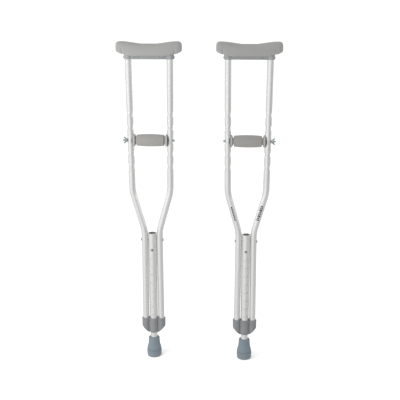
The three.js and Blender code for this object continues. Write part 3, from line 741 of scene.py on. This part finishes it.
def filled_out(thing):
    """A short cloth simulation under pressure, so that the pad swells as a soft solid does."""
    start = points_of(thing)
    cloth = modify(thing, "CLOTH")
    with_values(cloth.settings, use_pressure=True, uniform_pressure_force=4, mass=0.3)
    cloth.settings.effector_weights.gravity = 0
    with_values(cloth.point_cache, frame_start=1, frame_end=CLOTH_FRAMES)
    scene = bpy.context.scene
    for number in range(1, CLOTH_FRAMES + 1):
        scene.frame_set(number)
    settled(thing)
    scene.frame_set(1)
    step = points_of(thing) - start
    length = np.linalg.norm(step, axis=1, keepdims=True)
    step *= np.minimum(1, PAD_SWELL / np.maximum(length, 1e-9))
    thing.data.vertices.foreach_set("co", (start + step).ravel())
    thing.data.update()


def groove(distance, width, depth):
    """How far a moulded groove sinks the skin at a distance from its middle."""
    return depth * np.exp(-(distance / width) ** 2)


def make_pad():
    """Moulded foam armrest pad: cradle shape, end lobes past the saddle, moulded grooves."""
    pad = skin("pad", pad_rings(1.2 * MM))
    modify(pad, "REMESH", mode="VOXEL", voxel_size=4.5 * MM)
    settled(pad)
    filled_out(pad)
    modify(pad, "SUBSURF", levels=2)
    settled(pad)
    place = points_of(pad)
    normal = np.array([vertex.normal for vertex in pad.data.vertices])
    reach = np.abs(place[:, 0])
    low = 1 - eased(place[:, 2], SADDLE_TOP + 14 * MM, SADDLE_TOP + 24 * MM)
    sunk = groove(reach - 85 * MM, 2.0 * MM, 1.5 * MM) * low
    sunk += groove(reach - 99 * MM, 1.6 * MM, 0.7 * MM)
    place -= normal * sunk[:, None]
    place[:, 2] = np.maximum(place[:, 2], pad_floor(place[:, 0]))
    place[:, 0] = np.clip(place[:, 0], -PAD_END, PAD_END)
    pad.data.vertices.foreach_set("co", place.ravel())
    spine = block(76 * MM, 8 * MM, SADDLE_TOP - 3 * MM, saddle_high.z + MM)
    pocket_reach = ARMREST_SPREAD + UPRIGHT_RADIUS + 4 * MM
    pocket = block(pocket_reach, 14 * MM, SADDLE_TOP - 30 * MM, SADDLE_TOP + GAP)
    return shaded(cut(pad, [spine, pocket]), 70)


def make_bracket():
    """Moulded triple socket, tapering to the collar that the leg runs through."""
    side_radius, lip = UPRIGHT_RADIUS + GAP + 3.2 * MM, 0.6 * MM
    middle_radius, half_width = bracket_high.y, bracket_high.x
    low, floor, top = bracket_low.z, SOCKET_FLOOR, bracket_high.z
    lip_foot, above = top - 4 * MM, top + 5 * MM
    outline = [(-half_width - MM, top), (-half_width - MM, floor - 4 * MM), (-16 * MM, low - MM)]
    outline += [(-x, z) for x, z in reversed(outline)]
    slab = plate(outline, middle_radius + MM)
    middle = post(0, low + 6 * MM, top, middle_radius)
    parts = [block(FOOT_SPREAD, 6 * MM, low, top - 1.5 * MM)]
    for x in (-FOOT_SPREAD, FOOT_SPREAD):
        parts.append(post(x, low, top, side_radius))
        parts.append(post(x, lip_foot, top, side_radius + lip))
    parts.append(post(0, lip_foot, top, middle_radius + lip))
    body = boolean(joined(middle, parts), [slab], "INTERSECT")
    collar = post(0, low, low + 9 * MM, 16.2 * MM)
    body = joined(body, [collar])
    cutters = [
        post(0, low - 5 * MM, above, LEG_RADIUS + HOLE_GAP),
        post(0, low + 4 * MM, above, TUBE_RADIUS + GAP / 2),
    ]
    for end in (-1, 1):
        foot = (end * low_spread_at(floor), 0, floor)
        mouth = (end * low_spread_at(above), 0, above)
        cutters.append(rod(foot, mouth, UPRIGHT_RADIUS + GAP / 2, TUBE_SIDES))
    return shaded(moulded(cut(body, cutters)), 60)


def make_guide_bush():
    """Collar inside the bracket, with a chamfer at each end of its bore."""
    low, high = crutch_box("guide_bush")
    bore, chamfer = LEG_RADIUS + 0.35 * MM, 0.6 * MM
    profile = [(bore, low.z + chamfer), (bore + chamfer, low.z), (high.y, low.z), (high.y, high.z)]
    profile += [(bore + chamfer, high.z), (bore, high.z - chamfer)]
    return shaded(lathe("bush", profile))


def make_grip_core():
    high = crutch_box("grip_core")[1]
    radius, end = high.y, high.x
    bore = radius - 4 * MM
    return on_grip(lathe("core", [(bore, -end), (radius, -end), (radius, end), (bore, end)]))


def make_grip_sleeve():
    """Barrel-shaped foam sleeve with rolled ends and a shallow moulded line near each."""
    end, radius, bore = sleeve_high.x - 0.6 * MM, sleeve_high.y, 11.3 * MM
    belly, roll_start, line_place = 2.2 * MM, 0.93, 0.86
    mouth = radius - 2 * belly
    shares = np.concatenate([
        np.linspace(-1, -roll_start, 9)[1:], np.linspace(-roll_start, roll_start, 45)[1:-1],
        np.linspace(roll_start, 1, 9)[:-1]])
    profile = [(bore, -end), (mouth, -end)]
    for share in shares:
        roll = max(0.0, (abs(share) - roll_start) / (1 - roll_start))
        line = float(groove((abs(share) - line_place) * end, 0.8 * MM, 0.45 * MM))
        sunk = belly * (share * share + 1 - math.sqrt(1 - roll * roll)) + line
        profile.append((radius - sunk, share * end))
    return on_grip(lathe("sleeve", profile + [(mouth, end), (bore, end)]))


def make_grip_cap():
    """Cup at the +X end of the grip: neck, flange, and a rim cut to sit round the upright."""
    low, high = crutch_box("outer_grip_cap", "right")
    rim, floor, face = (high.z - low.z) / 2, low.x, high.x
    neck, throat, opening = 14.5 * MM, BOLT_RADIUS + HOLE_GAP, 14.2 * MM
    profile = [(throat, floor), (neck - MM, floor), (neck, floor + 0.6 * MM, 0.3 * MM)]
    profile += [(neck, floor + 2.2 * MM, 0.3 * MM), (rim, floor + 2.6 * MM, 0.6 * MM)]
    profile += [(rim, face, 0.6 * MM), (opening, face, 0.5 * MM), (opening, floor + 2.5 * MM)]
    profile += [(throat, floor + 2.5 * MM)]
    cap = moved(along_x(lathe("cap", rounded(profile))), z=GRIP_HEIGHT)
    near = [place for place in upright_line() if abs(place[1] - GRIP_HEIGHT) < 60 * MM]
    envelope = skin("envelope", [upright_ring((*p[:3], 0.0), UPRIGHT_RADIUS + GAP) for p in near])
    return shaded(bevelled(cut(cap, [envelope]), 0.3 * MM, 40), 35)


def thread_radius(along, turn):
    """Radius of a 60 degree thread at a place along the bolt and round it."""
    share = (along / THREAD_PITCH - turn / (2 * math.pi)) % 1.0
    depth = 0.55 * MM
    return BOLT_RADIUS - depth * min(1.0, abs(2 * share - 1) * 1.15)


def make_grip_bolt():
    """Carriage bolt with a domed head at -X and a real thread at its +X end."""
    low, high = crutch_box("grip_bolt", "right")
    head_radius, crown, tip = (high.z - low.z) / 2, 3.2 * MM, high.x
    rim = low.x + crown
    face, start = rim + 0.8 * MM, tip - 30 * MM
    sides = 36
    turns = around(sides)
    head = [(0.35 * MM, low.x)] + dome(head_radius, rim, -crown)[-2::-1]
    shank = [(head_radius, face), (BOLT_RADIUS, face), (BOLT_RADIUS, start)]
    rings = [circle(radius, x, sides) for radius, x in head + shank]
    steps = int((tip - start) / THREAD_PITCH * 10)
    for step in range(1, steps + 1):
        x = start + (tip - start) * step / steps
        ease = min(1.0, (x - start) / (2 * MM))
        chamfer = max(0.0, x - (tip - 1.1 * MM))
        radii = [thread_radius(x, turn) * ease + BOLT_RADIUS * (1 - ease) for turn in turns]
        radii = np.minimum(radii, BOLT_RADIUS - 0.9 * chamfer)
        rings.append(circle(radii, x, sides))
    return on_grip(skin("bolt", rings), 50)


def washer(bore, radius, low, high, ease):
    """Punched ring, rounder at its upper edge than at its lower one if ease is more than 0.3 mm."""
    profile = [(bore, low), (radius, low, 0.3 * MM), (radius, high, ease), (bore, high)]
    return lathe("washer", rounded(profile))


def make_bolt_washer():
    low, high = crutch_box("bolt_washer", "right")
    return on_grip(washer(BOLT_RADIUS + 0.4 * MM, 7.5 * MM, low.x, high.x, 0.5 * MM))


def make_wing_nut():
    """Cast wing nut: tapered boss and two swept wings with thick rounded rims."""
    low, high = crutch_box("wing_nut", "right")
    face, height = low.x, 7 * MM
    span, reach, thick = (high.z - low.z) / 2, high.x - low.x, 1.15 * MM
    boss = [(0, 0), (6 * MM, 0), (6 * MM, 1.6 * MM), (4.4 * MM, height), (0, height)]
    rim = [(0.30, 0.80), (0.55, 0.96), (0.82, 1), (0.97, 0.92), (1, 0.80), (0.93, 0.64), (0.72, 0.48)]
    wing = in_mm([(0.9, 2.5), (1.0, 6)]) + [(reach * x, span * z) for x, z in rim] + in_mm([(5.6, 2.5)])
    wings = [plate([(x, side * z) for x, z in wing], thick) for side in (-1, 1)]
    bore = rod((-MM, 0, 0), (height + MM, 0, 0), BOLT_RADIUS + 0.25 * MM)
    nut = cut(joined(along_x(lathe("boss", boss, 48)), wings), [bore])
    return moved(shaded(moulded(nut, 0.32 * MM, 4, 0.6), 60), x=face, z=GRIP_HEIGHT)


def make_bracket_rivet():
    """Blind rivet at the back of the bracket, its head towards +Y and hollow in the middle."""
    low, high = crutch_box("outer_bracket_rivet")
    head, shank, end = (high.z - low.z) / 2, 2 * MM, high.y
    face, dent = end - 1.6 * MM, end - 1.2 * MM
    profile = [(0, low.y), (shank, low.y), (shank, face), (head, face, 0.3 * MM)]
    profile += [(head * 0.85, end - 0.5 * MM, 0.8 * MM), (1.5 * MM, end, 0.3 * MM)]
    profile += [(1.2 * MM, dent), (0, dent)]
    rivet = turned(lathe("bracket_rivet", rounded(profile), SMALL_SIDES), -90, "X")
    height = (low.z + high.z) / 2
    return moved(shaded(rivet), x=low_spread_at(height), z=height)


def make_button():
    """Domed snap button with the flange that keeps it in the leg."""
    radius, flange, back, front = 3.8 * MM, 5 * MM, -button_high.y, -button_low.y
    step, crown = back + 0.9 * MM, 1.9 * MM
    profile = [(0, back), (flange, back), (flange, step), (radius, step)]
    profile += [(radius, front - crown, 0.2 * MM)] + dome(radius, front - crown, crown)[1:]
    button = turned(lathe("button", rounded(profile), SMALL_SIDES), 90, "X")
    return moved(shaded(button), z=BUTTON_HEIGHT)


def make_spring_clip():
    """Folded strip of spring steel behind the button."""
    thickness, half_width = 0.8 * MM, (clip_high.x - clip_low.x) / 2
    front, back = clip_low.y + thickness, clip_high.y - thickness
    fold = (back - front) / 2 * 0.55
    middle = (front + back) / 2
    base = clip_low.z + fold + thickness
    line = [(front, BUTTON_HEIGHT + 5 * MM)]
    for step in range(13):
        turn = math.pi + math.pi * step / 12
        line.append((middle + fold * math.cos(turn), base + fold * math.sin(turn)))
    line.append((back, BUTTON_HEIGHT))
    line = [np.array(p) for p in line]
    rings = []
    for index, here in enumerate(line):
        along = line[min(index + 1, len(line) - 1)] - line[max(index - 1, 0)]
        along /= np.linalg.norm(along)
        there = here + np.array([along[1], -along[0]]) * -thickness
        corners = [(-half_width, here), (half_width, here), (half_width, there), (-half_width, there)]
        rings.append(np.array([(x, *point) for x, point in corners]))
    return shaded(bevelled(skin("clip", rings), 0.12 * MM, 60), 40)


def make_tip():
    """Flared rubber tip with a rolled mouth, a stepped skirt and a ringed sole."""
    radius, top, socket, floor = tip_high.y / MM, tip_high.z / MM, LEG_RADIUS / MM + 0.15, 12
    groove_depth, edge = 0.9, radius - 1.6
    profile = [(0, groove_depth), (5, groove_depth)]
    for inner in (6, 10, 14, 18):
        profile += [(inner, 0), (inner + 2.4, 0)]
        profile += [(inner + 2.8, groove_depth), (inner + 3.6, groove_depth)]
    profile += [
        (22.2, 0, 0.3), (24.6, 0.5, 1.6), (radius - 0.5, 8, 2),
        (radius, 23, 0.5), (radius, 24.6, 0.4), (edge, 25, 0.3), (edge, 26.4, 0.4),
        (radius - 0.7, 27, 0.4), (radius - 1, 32, 3), (21, 47, 8),
        (19.6, top - 7, 1), (19.9, top - 4.8, 0.8), (18.9, top - 1.8, 1.8),
        (socket + 0.8, top, 0.4), (socket, top - 1), (socket, floor), (0, floor),
    ]
    return shaded(lathe("tip", rounded(in_mm(profile)), 96), 32)


def make_tip_washer():
    low, high = crutch_box("tip_washer")
    return shaded(washer(4 * MM, high.y, low.z, high.z, 0.3 * MM))


def patch(surface, turn, width, low, high, steps=8):
    """Thin raised patch on a tube. surface gives a point for a height, an angle and a lift."""
    points, faces = [], []
    turns = [turn + width * (step / steps - 0.5) for step in range(steps + 1)]
    for lift in (0.02 * MM, 0.12 * MM):
        for level in (low, high):
            points += [surface(level, angle, lift) for angle in turns]
    row = steps + 1
    for step in range(steps):
        a, b, c, d = (index * row + step for index in range(4))
        faces += [(a, a + 1, b + 1, b), (c, d, d + 1, c + 1)]
        faces += [(a, c, c + 1, a + 1), (b, b + 1, d + 1, d)]
    for step in (0, steps):
        a, b, c, d = (index * row + step for index in range(4))
        faces.append((a, b, d, c))
    return points, faces


def patches(name, placed):
    """One mesh of several patches."""
    points, faces = [], []
    for some_points, some_faces in placed:
        base = len(points)
        points += some_points
        faces += [tuple(base + corner for corner in face) for face in some_faces]
    return mesh_object(name, points, faces)


def on_slope(height, turn, lift):
    """Point on the sloping part of the +X upright."""
    slope = (UPPER_BEND_SPREAD - HUG_SPREAD) / (UPPER_BEND_HEIGHT - LOWER_BEND_HEIGHT)
    x = HUG_SPREAD + (height - LOWER_BEND_HEIGHT) * slope
    length = math.hypot(1, slope)
    radius = UPRIGHT_RADIUS + lift
    across = math.cos(turn) * radius
    return (x + across / length, math.sin(turn) * radius, height - across * slope / length)


def on_centre_tube(height, turn, lift):
    radius = TUBE_RADIUS + lift
    return (radius * math.cos(turn), radius * math.sin(turn), height)


def make_wide_print():
    """Block of plain bars, which stands for a printed label and has no lettering."""
    placed, height, index = [], 520 * MM, 0
    while height < 574 * MM:
        thick = (3.2 + 1.6 * (index % 3)) * MM
        width = (12 - 2.5 * (index * 2 % 3)) * MM / UPRIGHT_RADIUS
        placed.append(patch(on_slope, math.radians(266), width, height, height + thick))
        height += thick + 2.2 * MM
        index += 1
    return patches("wide_print", placed)


def make_narrow_print():
    """Column of plain dashes up the sloping upright."""
    placed, height = [], 518 * MM
    while height < 566 * MM:
        placed.append(patch(on_slope, math.radians(272), 0.38, height, height + 7 * MM))
        height += 8.5 * MM
    return patches("narrow_print", placed)


def make_height_marks():
    """Plain dash beside each leg hole."""
    placed = []
    for index in range(1, LEG_HOLE_COUNT):
        height = BUTTON_HEIGHT - index * LEG_HOLE_PITCH
        low, high = height - 2 * MM, height + 2 * MM
        placed.append(patch(on_centre_tube, math.radians(305), 0.13, low, high, 4))
    return patches("height_marks", placed)


# ---- pieces

def put(shape, name, side, body, material, nodes, mirror=False):
    """Copies a shape to a crutch, as the piece that stands for one CAD node."""
    mesh = shape.data.copy()
    if mirror:
        mesh.transform(Matrix.Scale(-1, 4, (1, 0, 0)))
        mesh.flip_normals()
    mesh.transform(Matrix.Translation((centre_of[side], 0, 0)))
    piece = add_object(name, mesh)
    mesh.materials.clear()
    mesh.materials.append(material)
    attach(piece, f"{side}_{body}")
    if nodes:
        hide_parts(*nodes)
    return piece


# part of the CAD node's name: (shape maker, body, slot, material). These sit the same on both crutches
CENTRED = {
    "underarm_pad": (make_pad, "frame", "pad_foam", PAD),
    "saddle": (make_saddle, "frame", "grey_plastic", GREY),
    "centre_tube": (make_centre_tube, "frame", "tube_aluminium", TUBE),
    "cross_rivet": (make_cross_rivet, "frame", "rivet_aluminium", RIVET),
    "lower_bracket": (make_bracket, "frame", "grey_plastic", DARK),
    "guide_bush": (make_guide_bush, "frame", "pale_plastic", PALE),
    "grip_core": (make_grip_core, "frame", "pale_plastic", PALE),
    "grip_sleeve": (make_grip_sleeve, "frame", "grip_foam", GRIP),
    "leg_tube": (make_leg_tube, "leg", "tube_aluminium", TUBE),
    "spring_clip": (make_spring_clip, "leg", "spring_steel", SPRING),
    "rubber_tip": (make_tip, "leg", "tip_rubber", RUBBER),
    "tip_washer": (make_tip_washer, "leg", "zinc_steel", ZINC),
    "snap_button": (make_button, "button", "zinc_steel", SHADED_BUTTON_STEEL),
}

# These are made for the +X side of a crutch, and there is one on each side of it
PAIRED = {
    "upright": (make_upright, "tube_aluminium", TUBE),
    "grip_cap": (make_grip_cap, "grey_plastic", CAP),
    "saddle_screw": (make_saddle_screw, "zinc_steel", ZINC),
    "bracket_rivet": (make_bracket_rivet, "rivet_aluminium", RIVET),
}

# These point outwards, so they are mirrored on the left crutch
OUTWARD = {
    "grip_bolt": (make_grip_bolt, "frame"),
    "bolt_washer": (make_bolt_washer, "washer"),
    "wing_nut": (make_wing_nut, "nut"),
}

for part, (make, body, slot, material) in CENTRED.items():
    shape = make()
    for side in SIDES:
        piece = put(shape, f"{part}_{side}", side, body, material, [f"{side}_{part}"])
        if part == "spring_clip":
            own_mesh(piece)
    drop(shape)

for part, (make, slot, material) in PAIRED.items():
    shape = make()
    for side, sign in SIDES.items():
        for place in ("inner", "outer"):
            mirror = (place == "outer") == (sign < 0)
            node = f"{side}_{place}_{part}"
            put(shape, f"{place}_{part}_{side}", side, "frame", material, [node], mirror)
    drop(shape)

for part, (make, body) in OUTWARD.items():
    shape = make()
    for side, sign in SIDES.items():
        put(shape, f"{part}_{side}", side, body, ZINC, [f"{side}_{part}"], sign < 0)
    drop(shape)

# The prints show on the right crutch only
PRINTS = {
    "outer_upright_print": (make_wide_print, False),
    "inner_upright_print": (make_narrow_print, True),
    "height_marks": (make_height_marks, False),
}

for name, (make, mirror) in PRINTS.items():
    shape = make()
    put(shape, f"{name}_right", "right", "frame", INK, [], mirror)
    drop(shape)


# ---- stage, lights and camera

FLOOR_REACH = 600.0
FLOOR_COLOUR = (0.93, 0.93, 0.925)

# Brightness of the surroundings by direction: 0 is towards the camera, negative to its left
WORLD_STRENGTH = 1.5
WORLD_LEVELS = (
    (-180, 0.75), (-140, 0.40), (-95, 0.42), (-62, 0.62), (-36, 0.78), (-14, 0.66),
    (14, 0.40), (44, 0.12), (66, 0.20), (95, 0.34), (130, 0.42), (180, 0.75),
)
LOW_LEVEL = 0.43  # what steeply downward directions tend to, as towards a pale floor
LOW_SHARE = 0.7
LOW_START, LOW_END = -0.10, -0.36
SKY_LEVEL = 0.70  # above the horizon, in every direction
SKY_START, SKY_END = -0.03, -0.004

CAMERA_AZIMUTH, CAMERA_ELEVATION = 3.354, 15.68
CAMERA_DISTANCE = 2.4264
AIM = Vector((0.0034, 0.0, 0.587))


def add_floor():
    corners = [(x * FLOOR_REACH, y * FLOOR_REACH, 0) for x, y in ((-1, -1), (1, -1), (1, 1), (-1, 1))]
    floor = mesh_object("floor", corners, [(0, 1, 2, 3)])
    nodes = Surface("pale_floor")
    tone = nodes.mixed(nodes.noise(0.4, 2.0), lighter(FLOOR_COLOUR, 0.99), FLOOR_COLOUR)
    floor.data.materials.append(nodes.feed(base_color=tone, roughness=0.9, specular_ior_level=0.1))
    floor.visible_glossy = False


def add_world():
    """Surroundings that are bright to the left of the camera and darker to its right."""
    world = bpy.data.worlds.new("studio")
    bpy.context.scene.world = world
    world.use_nodes = True
    nodes = Nodes(world.node_tree, "Generated")
    angle = nodes.maths("ARCTAN2", nodes.axis(0), nodes.maths("MULTIPLY", nodes.axis(1), -1.0))
    ramp = nodes.add("ValToRGB", {"Fac": nodes.ranged(angle, 0, 1, -math.pi, math.pi)})
    ramp.color_ramp.interpolation = "B_SPLINE"
    stops = ramp.color_ramp.elements
    stops.remove(stops[1])
    stops[0].position = 0.0
    stops[0].color = (WORLD_LEVELS[0][1],) * 3 + (1,)
    for degrees, level in WORLD_LEVELS[1:]:
        stops.new((degrees + 180) / 360).color = (level, level, level, 1)
    height = nodes.axis(2)
    downward = nodes.ranged(height, 0, LOW_SHARE, LOW_START, LOW_END)
    upward = nodes.ranged(height, 0, 1, SKY_START, SKY_END)
    sides = nodes.mixed(downward, ramp.outputs["Color"], (LOW_LEVEL,) * 3)
    background = world.node_tree.nodes["Background"].inputs
    nodes.give(background["Color"], nodes.mixed(upward, sides, (SKY_LEVEL,) * 3))
    nodes.give(background["Strength"], WORLD_STRENGTH)


def direction(azimuth, elevation):
    """Unit vector away from the crutches. The azimuth counts from the front, negative to the left."""
    turn, rise = math.radians(azimuth), math.radians(elevation)
    flat = math.cos(rise)
    return Vector((math.sin(turn) * flat, -math.cos(turn) * flat, math.sin(rise)))


def aimed(name, data, place, back):
    """A lamp or camera with its back turned to a direction."""
    thing = add_object(name, data)
    thing.location = place
    thing.rotation_euler = back.to_track_quat("Z", "Y").to_euler()
    return thing


def add_lamp(name, kind, place, back, energy, **values):
    """Soft light that doesn't show in the metal."""
    light = with_values(bpy.data.lights.new(name, kind), energy=energy, **values)
    aimed(name, light, place, back).visible_glossy = False


def add_camera():
    data = with_values(bpy.data.cameras.new("camera"), lens=64.04, sensor_width=36.0)
    back = direction(CAMERA_AZIMUTH, CAMERA_ELEVATION)
    bpy.context.scene.camera = aimed("camera", data, AIM + back * CAMERA_DISTANCE, back)


add_floor()
add_world()
add_lamp("overhead", "SUN", (0, 0, 0), direction(-30, 78), 0.5, angle=math.radians(50))
key_place = Vector((-0.95, -0.6, 0.85))
key_back = key_place - Vector((-0.16, 0.0, 0.6))
add_lamp("key", "AREA", key_place, key_back, 11.5, shape="RECTANGLE", size=0.5, size_y=0.9)
add_camera()
bpy.context.scene.view_settings.view_transform = "Standard"
